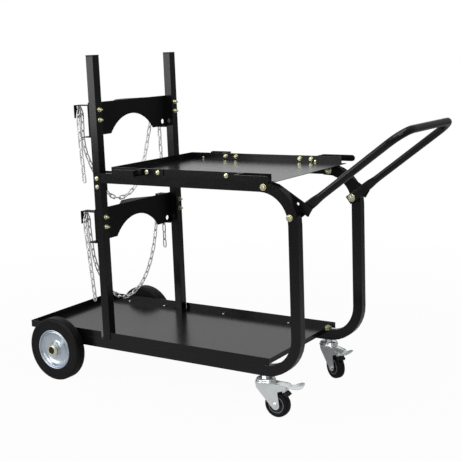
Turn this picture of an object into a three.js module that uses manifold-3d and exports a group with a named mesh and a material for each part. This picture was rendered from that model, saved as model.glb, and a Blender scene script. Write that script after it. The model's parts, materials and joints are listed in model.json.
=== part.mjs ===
// Two-tier welding cart with a gas cylinder rack, a push handle, two rear wheels and two braked casters.
// Millimetres, +Z up. +X points to the handle end, -Y is the left side of someone standing at the handle.
// Places along X are measured from the rear axle, heights from the floor.

import * as THREE from 'three';
import { mergeVertices } from 'three/addons/utils/BufferGeometryUtils.js';
import Module from 'manifold-3d';

const wasm = await Module();
wasm.setup();

// Fits
const SEAT_GAP = 0.3;
const BORE_CLEARANCE = 0.3;
const HOLE_CLEARANCE = 0.2;
const CUT_OVERRUN = 2;
const WELD_TOLERANCE = 1e-4;

// Facets of round shapes
const ARC_SEGMENTS = 5;
const HOLE_SIDES = 12;
const HEX_SIDES = 6;
const ROUND_SIDES = 20;
const WHEEL_SIDES = 32;

// Side frames: one bent rectangular tube on each side
const FRAME_WIDTH = 406;
const TUBE_DEPTH = 30;
const TUBE_WIDTH = 25;
const TUBE_WALL = 1.6;
const BEND_RADIUS = 86;
const RAIL_ABOVE_AXLE = 17;
const BOTTOM_RAIL_REAR = -60;
const UPRIGHT_FRONT = 872;
const TOP_RAIL_TOP = 664.5;

// Posts behind the upper tray
const POST_SIDE = 28;
const POST_WALL = 1.6;
const POST_FRONT = 199;
const POST_TOP = 1013;
const POST_CAP_THICK = 3;
const POST_CAP_PLUG = 14;

// Plates that bolt the top rails to the inner sides of the posts
const RAIL_PLATE_THICK = 3;
const RAIL_PLATE_LAP = 40;
const RAIL_PLATE_RISE = 4;
const RAIL_PLATE_HEIGHT = 60;
const RAIL_BOLT_DROP = 16.5;
const RAIL_BOLT_PITCH = 25.5;

// Trays of folded sheet
const SHEET = 1.5;
const LOWER_TRAY_REAR = -135.5;
const LOWER_TRAY_INSET = 2;
const LOWER_TRAY_SHORT_OF_BEND = 18;
const LOWER_FLANGE_PAST_BEND = 13;
const LOWER_FLANGE_HEIGHT = 22;
const LOWER_LIP_DROP = 14;
const POST_NOTCH_REAR_GAP = 10;
const POST_NOTCH_GAP = 2;
const BEND_RELIEF = 3;
const UPPER_TRAY_POST_GAP = 49;
const UPPER_TRAY_LENGTH = 565;
const UPPER_TRAY_OVERHANG = 4;
const UPPER_FLANGE_SETBACK = 16;
const UPPER_FLANGE_HEIGHT = 21;

// Cable hooks on the flanges of the upper tray
const HOOK_THICK = 3;
const HOOK_HEIGHT = 19;
const HOOK_REACH = 46;
const REAR_HOOK_INSET = 120;
const REAR_HOOK_FOOT = 72;
const REAR_HOOK_RUN = 78;
const FRONT_HOOK_INSET = 101;
const FRONT_HOOK_FOOT = 76;
const FRONT_HOOK_RUN = 106;

// Cylinder brackets across the backs of the posts
const BRACKET_HEIGHT = 99;
const BRACKET_THICK = 3;
const UPPER_BRACKET_TOP = 873.5;
const LOWER_BRACKET_TOP = 552.5;
const ARCH_RADIUS = 129;
const ARCH_RISE = 54.5;
const ARCH_SIDES = 56;
const SPARE_HOLE_RADIUS = 8;
const SPARE_HOLE_Y = 157;
const SPARE_HOLE_UP = 16;
const SHELF_DEPTH = 46;
const SHELF_BASE = 180;
const SHELF_END = 44;

// Chain hangers behind the ends of the cylinder brackets
const UPPER_HANGER_TOP = 867;
const LOWER_HANGER_TOP = 545;
const HANGER_HEIGHT = 97;
const HANGER_THICK = 2.5;
const HANGER_WIDTH = 30;
const HANGER_REACH = 58;
const HANGER_TAB_DROP = 38;
const HANGER_LIP = 34;
const HANGER_SLOT_WIDTH = 5;
const HANGER_SLOT_DEPTH = 14;

// Push handle of round tube with flattened ends
const HANDLE_DIAMETER = 21.3;
const HANDLE_FLAT_THICK = 5.4;
const HANDLE_FLAT_WIDTH = 27;
const HANDLE_FLAT_SQUARENESS = 0.35;
const HANDLE_PAST_BOLT = 14;
const HANDLE_FLAT_END = 62;
const HANDLE_ROUND_START = 103;
const HANDLE_LENGTH = 389;
const HANDLE_BEND_RADIUS = 55;
const HANDLE_ANGLE = 36.6;
const HANDLE_SIDES = 16;
const HANDLE_BEND_STEPS = 8;
const HANDLE_NECK_STEPS = 5;

// Plates that carry the handle on the top bends of the side frames
const PLATE_THICK = 4;
const PLATE_ANGLE = 31.4;
const PLATE_WIDTH = 27;
const PLATE_LENGTH = 118;
const PLATE_CORNER_AHEAD = 46;
const PLATE_CORNER_UP = 106;
const PLATE_REAR_BEHIND = 4;
const PLATE_REAR_TOP = 111;
const PLATE_REAR_FOOT = 85;
const PLATE_FOOT_DROP = 12;
const PLATE_FOOT_FRONT = 20;
const PLATE_FOOT_REAR = 8;
const PLATE_HOLE_RADIUS = 4.2;
const PLATE_HOLE_ALONG = 75.5;
const UPPER_BOLT_ANGLE = 83;
const LOWER_BOLT_ANGLE = 12.3;
const UPPER_BOLT_INTO_TUBE = 14;
const LOWER_BOLT_INTO_TUBE = 6.9;

// Bolts
const BOLT_RADIUS = 4;
const BOLT_HEAD_RADIUS = 7.5;
const BOLT_HEAD_HEIGHT = 5;
const BOLT_NUT_HEIGHT = 6.5;
const BOLT_TAIL = 4;

// Rear axle and wheels
const AXLE_RADIUS = 8;
const AXLE_BRACKET_THICK = 6;
const AXLE_BRACKET_LENGTH = 64;
const AXLE_BRACKET_EYE = 17;
const TYRE_RADIUS = 100;
const TYRE_WIDTH = 38;
const TYRE_SHOULDER = 8;
const TYRE_BORE = 64;
const TYRE_SHOULDER_STEPS = 3;
const WHEEL_GAP = 7;
const RIM_INSET = 2;
const RIM_WALL = 3;
const RIM_DISH_DEPTH = 12;
const RIM_DISH_SLOPE = 10;
const RIM_DISC_THICK = 4;
const HUB_RADIUS = 13;
const HUB_OVERHANG = 3;
const AXLE_NUT_RADIUS = 17;
const AXLE_NUT_HEIGHT = 11;

// Front casters: places along the caster are measured from its swivel axis or its wheel's axle
const CASTER_BEHIND_BEND = 6;
const CASTER_TRAIL = 37;
const CASTER_WHEEL_RADIUS = 37.5;
const CASTER_WHEEL_WIDTH = 25;
const CASTER_TYRE_BORE = 26;
const CASTER_TYRE_SHOULDER = 5;
const CASTER_HUB_WIDTH = 28;
const CASTER_AXLE_RADIUS = 4;
const CASTER_AXLE_HEAD = 7;
const CASTER_AXLE_HEAD_HEIGHT = 4;
const CASTER_NUT_RADIUS = 11;
const CASTER_NUT_HEIGHT = 7;
const CASTER_RACE_RADIUS = 29;
const CASTER_RACE_TOP_RADIUS = 24;
const CASTER_RACE_HEIGHT = 11;
const FORK_SHEET = 2.5;
const FORK_CROWN_RADIUS = 27;
const FORK_REAR = 27;
const FORK_REAR_DROP = 18;
const FORK_REAR_TAPER = 4;
const FORK_EYE_RADIUS = 13;
const FORK_EYE_START = 218;
const FORK_EYE_END = 355;
const FORK_THROAT_AHEAD = 8;
const FORK_THROAT_DROP = 22;
const FORK_ARM_AHEAD = 38;
const FORK_ARM_TOP_AHEAD = 28;
const FORK_ARM_FOOT_DROP = 13;
const FORK_ARM_TIP_DROP = 5;
const LEFT_CASTER_TURN = 0;
const RIGHT_CASTER_TURN = -30;

// Caster brakes: pedal and shoe turn on a pin between the fork's arms; corners are [ahead of, above] the pin
const BRAKE_TRAVEL = 8;
const BRAKE_PIN_AHEAD = 25;
const BRAKE_PIN_DROP = 7;
const BRAKE_PIN_RADIUS = 3;
const BRAKE_PIN_END = 1.5;
const BRAKE_BARREL_RADIUS = 5;
const PEDAL_THICK = 2.5;
const PEDAL_WIDTH = 26;
const PEDAL_REAR = [-22, 6.5];
const PEDAL_ELBOW = [23, 2];
const PEDAL_TIP = [58, 13];
const PEDAL_NECK_REAR = -4;
const PEDAL_NECK_FRONT = 4;
const SHOE_WIDTH = 22;
const SHOE_HEEL = [-5, -17.2];
const SHOE_CREST = [5, -13.2];
const SHOE_NOSE = [16, -24.7];
const SHOE_PRESSED_GAP = 1.4;
const SHOE_ARC_START = 66;
const SHOE_ARC_END = 38;

// Chains of the cylinder rack: the links' outer diameter, and routes chosen by hand
const CHAIN_DIAMETER = 9;
const CHAIN_SIDES = 8;
const CHAIN_STEPS = 4;
const UPPER_CHAIN_ROUTE = [
  [122, -187, 632], [122, -191, 690], [122, -195, 750], [122, -197, 810], [122, -197, 847],
  [122, -188, 859.7], [122, -179, 847], [122, -180, 810], [121, -180, 765], [121, -172, 725],
  [121, -146, 670], [121, -112, 618], [121, -66, 573], [121, -12, 560], [121, 40, 576],
  [121, 80, 612], [121, 116, 680], [121, 144, 758], [122, 166, 820], [122, 179, 848],
  [122, 189, 859.7], [122, 198, 846], [122, 199, 800], [122, 201, 740], [122, 203, 655],
];
const LOWER_CHAIN_ROUTE = [
  [122, -173, 257], [122, -180, 330], [122, -189, 417], [122, -197, 494], [122, -197, 525],
  [122, -188, 537.7], [122, -179, 525], [122, -178, 489], [121, -167, 404], [121, -147, 344],
  [121, -114, 292], [121, -72, 254], [121, -24, 233], [121, 30, 243], [121, 72, 268],
  [121, 108, 312], [121, 138, 374], [121, 158, 446], [122, 174, 504], [122, 180, 526],
  [122, 189, 537.7], [122, 198, 525], [122, 200, 485], [122, 199, 427], [122, 199, 358],
];

// Colours and surface values of the materials
const FINISHES = {
  black_paint: { color: 0x17171a, roughness: 0.42, metalness: 0.1 },
  bright_zinc: { color: 0xc4cbce, roughness: 0.3, metalness: 0.9 },
  yellow_zinc: { color: 0xc9c48c, roughness: 0.35, metalness: 0.9 },
  tyre_rubber: { color: 0x1c1c1d, roughness: 0.8, metalness: 0 },
  black_plastic: { color: 0x121213, roughness: 0.55, metalness: 0 },
};

// Places worked out from the sizes above
const SIDES = [['left', -1], ['right', 1]];
const { degToRad, lerp } = THREE.MathUtils;
const frameOuterY = FRAME_WIDTH / 2;
const frameInnerY = frameOuterY - TUBE_WIDTH;
const tubeMiddleY = frameOuterY - TUBE_WIDTH / 2;
const bottomRailFoot = TYRE_RADIUS + RAIL_ABOVE_AXLE;
const bottomRailTop = bottomRailFoot + TUBE_DEPTH;
const topRailFoot = TOP_RAIL_TOP - TUBE_DEPTH;
const bendX = UPRIGHT_FRONT - TUBE_DEPTH - BEND_RADIUS;
const lowerBendZ = bottomRailTop + BEND_RADIUS;
const upperBendZ = topRailFoot - BEND_RADIUS;
const postRear = POST_FRONT - POST_SIDE;
const postInnerY = frameOuterY - POST_SIDE;
const postMiddleX = POST_FRONT - POST_SIDE / 2;
const postMiddleY = frameOuterY - POST_SIDE / 2;
const railPlateInnerY = postInnerY - RAIL_PLATE_THICK;
const railBoltTop = TOP_RAIL_TOP - RAIL_BOLT_DROP;
const railBoltHeights = [railBoltTop, railBoltTop - RAIL_BOLT_PITCH];
const bracketRear = postRear - BRACKET_THICK;
const upperTrayRear = POST_FRONT + UPPER_TRAY_POST_GAP;
const upperTrayFront = upperTrayRear + UPPER_TRAY_LENGTH;
const upperTrayHalf = frameOuterY + UPPER_TRAY_OVERHANG;
const upperFlangeTop = TOP_RAIL_TOP + UPPER_FLANGE_HEIGHT;
const plateInnerY = frameInnerY - PLATE_THICK;
const handleArmY = plateInnerY - SEAT_GAP - HANDLE_FLAT_THICK / 2;
const upperBolt = bendPoint(UPPER_BOLT_ANGLE, UPPER_BOLT_INTO_TUBE);
const lowerBolt = bendPoint(LOWER_BOLT_ANGLE, LOWER_BOLT_INTO_TUBE);
const handleTurn = degToRad(HANDLE_ANGLE);
const handleBarX = HANDLE_LENGTH * Math.cos(handleTurn);
const handleFront = lowerBolt[0] + handleBarX + HANDLE_DIAMETER / 2;
const wheelInnerY = frameOuterY + WHEEL_GAP;
const wheelOuterY = wheelInnerY + TYRE_WIDTH;
const axleReach = wheelOuterY + SEAT_GAP + AXLE_NUT_HEIGHT;
const casterX = bendX - CASTER_BEHIND_BEND;
const casterRaceTop = bottomRailFoot - CASTER_NUT_HEIGHT;
const casterRaceFoot = casterRaceTop - CASTER_RACE_HEIGHT;
const forkTop = casterRaceFoot - SEAT_GAP;
const forkInnerY = CASTER_HUB_WIDTH / 2 + SEAT_GAP;
const forkOuterY = forkInnerY + FORK_SHEET;
const brakePin = [CASTER_TRAIL + BRAKE_PIN_AHEAD, forkTop - BRAKE_PIN_DROP];
const originX = (handleFront + LOWER_TRAY_REAR) / 2;

// The place of a bolt on the top bend of a side frame, at an angle up from the X direction
function bendPoint(angle, intoTube) {
  const radius = BEND_RADIUS + intoTube;
  return [bendX + radius * Math.cos(degToRad(angle)), upperBendZ + radius * Math.sin(degToRad(angle))];
}

// Geometry helpers

function outward(geometry) {
  const bare = geometry.clone();
  bare.deleteAttribute('normal');
  bare.deleteAttribute('uv');
  const merged = mergeVertices(bare, WELD_TOLERANCE);
  const place = merged.attributes.position;
  const corners = merged.index.array;
  const [a, b, c] = [new THREE.Vector3(), new THREE.Vector3(), new THREE.Vector3()];
  let volume = 0;
  for (let i = 0; i < corners.length; i += 3) {
    a.fromBufferAttribute(place, corners[i]);
    b.fromBufferAttribute(place, corners[i + 1]);
    c.fromBufferAttribute(place, corners[i + 2]);
    volume += a.dot(b.cross(c));
  }
  if (volume < 0) {
    corners.reverse();
  }
  merged.computeVertexNormals();
  return merged;
}

function toSolid(geometry) {
  const closed = outward(geometry);
  const vertProperties = new Float32Array(closed.attributes.position.array);
  const triVerts = new Uint32Array(closed.index.array);
  return new wasm.Manifold(new wasm.Mesh({ numProp: 3, vertProperties, triVerts }));
}

function toGeometry(solid) {
  const mesh = solid.getMesh();
  const geometry = new THREE.BufferGeometry();
  geometry.setAttribute('position', new THREE.BufferAttribute(mesh.vertProperties, 3));
  geometry.setIndex(new THREE.BufferAttribute(mesh.triVerts, 1));
  return geometry;
}

function join(...pieces) {
  return toGeometry(pieces.map(toSolid).reduce((whole, piece) => whole.add(piece)));
}

function cut(body, ...tools) {
  return toGeometry(tools.map(toSolid).reduce((rest, tool) => rest.subtract(tool), toSolid(body)));
}

function block(x0, x1, y0, y1, z0, z1) {
  const geometry = new THREE.BoxGeometry(Math.abs(x1 - x0), Math.abs(y1 - y0), Math.abs(z1 - z0));
  return geometry.translate((x0 + x1) / 2, (y0 + y1) / 2, (z0 + z1) / 2);
}

function outline(points) {
  return new THREE.Shape(points.map(([u, v]) => new THREE.Vector2(u, v)));
}

// Extrusions of a shape drawn in the XY or XZ plane
const alongZ = new THREE.Matrix4();
const alongY = new THREE.Matrix4().set(1, 0, 0, 0, 0, 0, 1, 0, 0, 1, 0, 0, 0, 0, 0, 1);

function slab(shape, from, to, basis) {
  const options = { depth: Math.abs(to - from), bevelEnabled: false, curveSegments: ARC_SEGMENTS };
  const geometry = new THREE.ExtrudeGeometry(shape, options);
  return geometry.translate(0, 0, Math.min(from, to)).applyMatrix4(basis);
}

function slabXY(shape, z0, z1) {
  return slab(shape, z0, z1, alongZ);
}

function slabXZ(shape, y0, y1) {
  return slab(shape, y0, y1, alongY);
}

function rodX(y, z, radius, x0, x1, sides = HOLE_SIDES) {
  const rod = new THREE.CylinderGeometry(radius, radius, Math.abs(x1 - x0), sides).rotateZ(Math.PI / 2);
  return rod.translate((x0 + x1) / 2, y, z);
}

function rodY(x, z, radius, y0, y1, sides = HOLE_SIDES) {
  const rod = new THREE.CylinderGeometry(radius, radius, Math.abs(y1 - y0), sides);
  return rod.translate(x, (y0 + y1) / 2, z);
}

function rodZ(x, y, radius, z0, z1, sides = HOLE_SIDES, topRadius = radius) {
  const rod = new THREE.CylinderGeometry(topRadius, radius, Math.abs(z1 - z0), sides).rotateX(Math.PI / 2);
  return rod.translate(x, y, (z0 + z1) / 2);
}

// A bent strap seen on edge, from the line along its middle
function strap(points, thickness) {
  const middle = points.map(([u, v]) => new THREE.Vector2(u, v));
  const near = [];
  const far = [];
  middle.forEach((point, i) => {
    const isLast = i === middle.length - 1;
    const out = (isLast ? point.clone().sub(middle[i - 1]) : middle[i + 1].clone().sub(point)).normalize();
    const into = i ? point.clone().sub(middle[i - 1]).normalize() : out;
    const side = new THREE.Vector2(-into.y, into.x);
    const mitre = side.clone().add(new THREE.Vector2(-out.y, out.x)).normalize();
    const reach = thickness / 2 / mitre.dot(side);
    near.push(point.clone().addScaledVector(mitre, reach));
    far.push(point.clone().addScaledVector(mitre, -reach));
  });
  return new THREE.Shape([...near, ...far.reverse()]);
}

// A closed skin over rings of points that follow one another, capped at both ends
function loft(rings) {
  const sides = rings[0].length;
  const last = (rings.length - 1) * sides;
  const corners = [];
  for (let start = 0; start < last; start += sides) {
    for (let side = 0; side < sides; side += 1) {
      const [a, b] = [start + side, start + ((side + 1) % sides)];
      corners.push(a, b, b + sides, a, b + sides, a + sides);
    }
  }
  for (let side = 1; side < sides - 1; side += 1) {
    corners.push(0, side + 1, side);
    corners.push(last, last + side, last + side + 1);
  }
  const geometry = new THREE.BufferGeometry().setFromPoints(rings.flat());
  geometry.setIndex(corners);
  return geometry;
}

// A solid of revolution about the Y axis from a closed list of [radius, y]
function turned(profile, sides) {
  const points = [...profile, profile[0]].map(([radius, y]) => new THREE.Vector2(radius, y));
  return new THREE.LatheGeometry(points, sides);
}

function ring(bore, radius, y0, y1) {
  return turned([[bore, y0], [radius, y0], [radius, y1], [bore, y1]], ROUND_SIDES);
}

const cart = new THREE.Group();
cart.position.x = -originX;

function add(name, geometry, finish, parent = cart) {
  const mesh = new THREE.Mesh(outward(geometry), new THREE.MeshStandardMaterial(FINISHES[finish]));
  mesh.name = name;
  parent.add(mesh);
  return mesh;
}

// Side frames

function frameShape(inset, overrun) {
  const outer = BEND_RADIUS + TUBE_DEPTH - inset;
  const inner = BEND_RADIUS + inset;
  const rear = BOTTOM_RAIL_REAR - overrun;
  const topRear = POST_FRONT + SEAT_GAP - overrun;
  const shape = new THREE.Shape();
  shape.moveTo(rear, lowerBendZ - inner);
  shape.lineTo(rear, lowerBendZ - outer);
  shape.absarc(bendX, lowerBendZ, outer, -Math.PI / 2, 0, false);
  shape.absarc(bendX, upperBendZ, outer, 0, Math.PI / 2, false);
  shape.lineTo(topRear, upperBendZ + outer);
  shape.lineTo(topRear, upperBendZ + inner);
  shape.absarc(bendX, upperBendZ, inner, Math.PI / 2, 0, true);
  shape.absarc(bendX, lowerBendZ, inner, 0, -Math.PI / 2, true);
  return shape;
}

function sideFrame(side) {
  const tube = slabXZ(frameShape(0, 0), side * frameOuterY, side * frameInnerY);
  const cavityOuter = side * (frameOuterY - TUBE_WALL);
  const cavityInner = side * (frameInnerY + TUBE_WALL);
  const cavity = slabXZ(frameShape(TUBE_WALL, CUT_OVERRUN), cavityOuter, cavityInner);
  const holes = [upperBolt, lowerBolt].map((place) => boltHole(place, side, frameInnerY, frameOuterY));
  return cut(tube, cavity, ...holes);
}

function boltHole([x, z], side, fromY, toY) {
  const reach = BOLT_RADIUS + HOLE_CLEARANCE;
  return rodY(x, z, reach, side * (fromY - CUT_OVERRUN), side * (toY + CUT_OVERRUN));
}

// Posts with their caps, and the plates that join the top rails to them

function post(side) {
  const half = POST_SIDE / 2;
  const bore = half - POST_WALL;
  const top = POST_TOP - POST_CAP_THICK;
  const tube = block(-half, half, -half, half, bottomRailTop, top);
  const hollow = block(-bore, bore, -bore, bore, bottomRailTop - CUT_OVERRUN, top + CUT_OVERRUN);
  const hung = cut(tube, hollow).translate(postMiddleX, side * postMiddleY, 0);
  return cut(hung, ...railBoltHeights.map((z) => boltHole([postMiddleX, z], side, postInnerY, frameOuterY)));
}

function postCap(side) {
  const half = POST_SIDE / 2;
  const plugHalf = half - POST_WALL - SEAT_GAP;
  const seat = POST_TOP - POST_CAP_THICK;
  const plate = block(-half, half, -half, half, seat, POST_TOP);
  const plugTop = seat + POST_CAP_THICK / 2;
  const plug = block(-plugHalf, plugHalf, -plugHalf, plugHalf, seat - POST_CAP_PLUG, plugTop);
  return join(plate, plug).translate(postMiddleX, side * postMiddleY, 0);
}

function railPlate(side) {
  const top = TOP_RAIL_TOP + RAIL_PLATE_RISE;
  const foot = top - RAIL_PLATE_HEIGHT;
  const front = POST_FRONT + RAIL_PLATE_LAP;
  const shape = outline([
    [postRear, foot], [POST_FRONT, foot], [POST_FRONT, topRailFoot], [front, topRailFoot], [front, top],
    [postRear, top],
  ]);
  const plate = slabXZ(shape, side * railPlateInnerY, side * postInnerY);
  const pad = block(POST_FRONT + SEAT_GAP, front, side * railPlateInnerY, side * frameInnerY, topRailFoot,
    TOP_RAIL_TOP);
  const holes = railBoltHeights.map((z) => boltHole([postMiddleX, z], side, railPlateInnerY, postInnerY));
  return cut(join(plate, pad), ...holes);
}

// Bolts: a hexagon head against the outer face of a side frame, a plain shank and a nut

function bolt([x, z], side, nutY) {
  const headTop = frameOuterY + BOLT_HEAD_HEIGHT;
  const headMiddle = frameOuterY + BOLT_HEAD_HEIGHT / 2;
  const end = nutY - BOLT_NUT_HEIGHT - BOLT_TAIL;
  const shank = rodY(x, z, BOLT_RADIUS, side * headMiddle, side * end);
  const head = rodY(x, z, BOLT_HEAD_RADIUS, side * frameOuterY, side * headTop, HEX_SIDES);
  const nut = rodY(x, z, BOLT_HEAD_RADIUS, side * nutY, side * (nutY - BOLT_NUT_HEIGHT), HEX_SIDES);
  return join(shank, head, nut);
}

// Trays

function lowerTray() {
  const half = frameOuterY - LOWER_TRAY_INSET;
  const front = bendX - LOWER_TRAY_SHORT_OF_BEND;
  const flangeFront = bendX + LOWER_FLANGE_PAST_BEND;
  const floorTop = bottomRailTop + SHEET;
  const top = bottomRailTop + LOWER_FLANGE_HEIGHT;
  const lipHalf = frameInnerY - SEAT_GAP;
  const cutFoot = bottomRailTop - CUT_OVERRUN;
  const cutOuter = half + CUT_OVERRUN;
  const floor = block(LOWER_TRAY_REAR, front, -half, half, bottomRailTop, floorTop);
  const rear = block(LOWER_TRAY_REAR, LOWER_TRAY_REAR + SHEET, -half, half, bottomRailTop, top);
  const lip = block(front - SHEET, front, -lipHalf, lipHalf, bottomRailTop - LOWER_LIP_DROP, floorTop);
  const flanges = SIDES.map(([, side]) =>
    block(LOWER_TRAY_REAR, flangeFront, side * half, side * (half - SHEET), bottomRailTop, top));
  const notchRear = postRear - POST_NOTCH_REAR_GAP;
  const notchFront = POST_FRONT + POST_NOTCH_GAP;
  const notchInner = postInnerY - POST_NOTCH_GAP;
  const notches = SIDES.map(([, side]) =>
    block(notchRear, notchFront, side * cutOuter, side * notchInner, cutFoot, top + CUT_OVERRUN));
  const reliefRear = bendX - SEAT_GAP;
  const reliefFront = flangeFront + CUT_OVERRUN;
  const reliefTop = bottomRailTop + BEND_RELIEF;
  const reliefs = SIDES.map(([, side]) =>
    block(reliefRear, reliefFront, side * lipHalf, side * cutOuter, cutFoot, reliefTop));
  return cut(join(floor, rear, lip, ...flanges), ...notches, ...reliefs);
}

function upperTray() {
  const half = upperTrayHalf;
  const flangeFront = upperTrayFront - UPPER_FLANGE_SETBACK;
  const floor = block(upperTrayRear, upperTrayFront, -half, half, TOP_RAIL_TOP, TOP_RAIL_TOP + SHEET);
  const rear = block(upperTrayRear, upperTrayRear + SHEET, -half, half, TOP_RAIL_TOP, upperFlangeTop);
  const flanges = SIDES.map(([, side]) =>
    block(upperTrayRear, flangeFront, side * half, side * (half - SHEET), TOP_RAIL_TOP, upperFlangeTop));
  return join(floor, rear, ...flanges);
}

// A hook is a strap with a foot on the tray's flange, a jog out and a free run with a round end
function cableHook(side, jogX, foot, run, heading) {
  const footY = side * (upperTrayHalf + HOOK_THICK / 2);
  const runY = footY + side * HOOK_REACH;
  const tipX = jogX + heading * run;
  const middle = [[jogX - heading * foot, footY], [jogX, footY], [jogX, runY], [tipX, runY]];
  const hook = slabXY(strap(middle, HOOK_THICK), upperFlangeTop - HOOK_HEIGHT, upperFlangeTop);
  const radius = HOOK_HEIGHT / 2;
  const roundX = tipX - heading * radius;
  const roundZ = upperFlangeTop - radius;
  const outerY = runY + side * HOOK_THICK;
  const innerY = runY - side * HOOK_THICK;
  const past = tipX + heading * CUT_OVERRUN;
  const reach = radius + CUT_OVERRUN;
  const corner = block(roundX, past, innerY, outerY, roundZ - reach, roundZ + reach);
  return cut(hook, cut(corner, rodY(roundX, roundZ, radius, innerY, outerY, ROUND_SIDES)));
}

// Cylinder rack

function cylinderBracket(top) {
  const foot = top - BRACKET_HEIGHT;
  const web = block(bracketRear, postRear, -frameOuterY, frameOuterY, foot, top);
  const cutRear = bracketRear - CUT_OVERRUN;
  const cutFront = postRear + CUT_OVERRUN;
  const archZ = foot + ARCH_RISE - ARCH_RADIUS;
  const arch = rodX(0, archZ, ARCH_RADIUS, cutRear, cutFront, ARCH_SIDES);
  const spares = SIDES.map(([, side]) =>
    rodX(side * SPARE_HOLE_Y, foot + SPARE_HOLE_UP, SPARE_HOLE_RADIUS, cutRear, cutFront));
  const shelfRear = postRear - SHELF_DEPTH;
  const shelf = outline([
    [postRear, -SHELF_BASE / 2], [postRear, SHELF_BASE / 2],
    [shelfRear, SHELF_END / 2], [shelfRear, -SHELF_END / 2],
  ]);
  return join(cut(web, arch, ...spares), slabXY(shelf, top - BRACKET_THICK, top));
}

function chainHanger(side, topEdge) {
  const half = HANGER_THICK / 2;
  const top = topEdge - half;
  const foot = topEdge - HANGER_HEIGHT + half;
  const backX = bracketRear - half;
  const tabX = postRear - HANGER_REACH;
  const tab = [[tabX, top - HANGER_TAB_DROP], [tabX, top]];
  const middle = [...tab, [backX, top], [backX, foot], [postRear - HANGER_LIP, foot]];
  const innerY = frameOuterY - HANGER_WIDTH;
  const bent = slabXZ(strap(middle, HANGER_THICK), side * frameOuterY, side * innerY);
  const slotY = side * (frameOuterY + innerY) / 2;
  const slotHalf = HANGER_SLOT_WIDTH / 2;
  const slotRear = tabX - HANGER_THICK;
  const slot = block(slotRear, tabX + HANGER_SLOT_DEPTH, slotY - slotHalf, slotY + slotHalf,
    top - HANGER_SLOT_DEPTH, top + HANGER_THICK);
  return cut(bent, slot);
}

// A chain's tube passes through every point of its route, in steps between them, nearly in one YZ plane
function chain(route) {
  const path = new THREE.CatmullRomCurve3(route.map((point) => new THREE.Vector3(...point)));
  const count = (route.length - 1) * CHAIN_STEPS;
  const across = new THREE.Vector3(CHAIN_DIAMETER / 2, 0, 0);
  const rings = [];
  for (let step = 0; step <= count; step += 1) {
    const middle = path.getPoint(step / count);
    const ahead = path.getTangent(step / count);
    const beside = new THREE.Vector3(0, -ahead.z, ahead.y).setLength(CHAIN_DIAMETER / 2);
    rings.push(Array.from({ length: CHAIN_SIDES }, (_, side) => {
      const turn = (2 * Math.PI * side) / CHAIN_SIDES;
      return middle.clone().addScaledVector(across, Math.cos(turn)).addScaledVector(beside, Math.sin(turn));
    }));
  }
  return loft(rings);
}

// Push handle: a U of tube in its own plane, with X along the arms from the lower bolts

function handleSection(flatness) {
  const halfThick = lerp(HANDLE_DIAMETER, HANDLE_FLAT_THICK, flatness) / 2;
  const halfWide = lerp(HANDLE_DIAMETER, HANDLE_FLAT_WIDTH, flatness) / 2;
  const power = lerp(1, HANDLE_FLAT_SQUARENESS, flatness);
  const shaped = (share) => Math.sign(share) * Math.abs(share) ** power;
  const points = [];
  for (let side = 0; side < HANDLE_SIDES; side += 1) {
    const turn = (2 * Math.PI * (side + 1 / 2)) / HANDLE_SIDES;
    points.push([halfThick * shaped(Math.cos(turn)), halfWide * shaped(Math.sin(turn))]);
  }
  return points;
}

function handleStations() {
  const arm = { y: -handleArmY, heading: 0 };
  const stations = [{ ...arm, x: -HANDLE_PAST_BOLT, flatness: 1 }];
  for (let step = 0; step <= HANDLE_NECK_STEPS; step += 1) {
    const share = step / HANDLE_NECK_STEPS;
    const flatness = 1 - THREE.MathUtils.smoothstep(share, 0, 1);
    stations.push({ ...arm, x: lerp(HANDLE_FLAT_END, HANDLE_ROUND_START, share), flatness });
  }
  for (let step = 0; step <= HANDLE_BEND_STEPS; step += 1) {
    const heading = (Math.PI / 2) * (step / HANDLE_BEND_STEPS);
    const x = HANDLE_LENGTH - HANDLE_BEND_RADIUS * (1 - Math.sin(heading));
    const y = -handleArmY + HANDLE_BEND_RADIUS * (1 - Math.cos(heading));
    stations.push({ x, y, heading, flatness: 0 });
  }
  const back = stations.map((near) => ({ ...near, y: -near.y, heading: Math.PI - near.heading }));
  return [...stations, ...back.reverse()];
}

function handle() {
  const rings = handleStations().map(({ x, y, heading, flatness }) => {
    const place = ([across, up]) => new THREE.Vector3(
      x - across * Math.sin(heading),
      y + across * Math.cos(heading),
      up,
    );
    return handleSection(flatness).map(place);
  });
  const inner = handleArmY - HANDLE_FLAT_THICK / 2;
  const outer = handleArmY + HANDLE_FLAT_THICK / 2;
  return cut(loft(rings), ...SIDES.map(([, side]) => boltHole([0, 0], side, inner, outer)));
}

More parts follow.
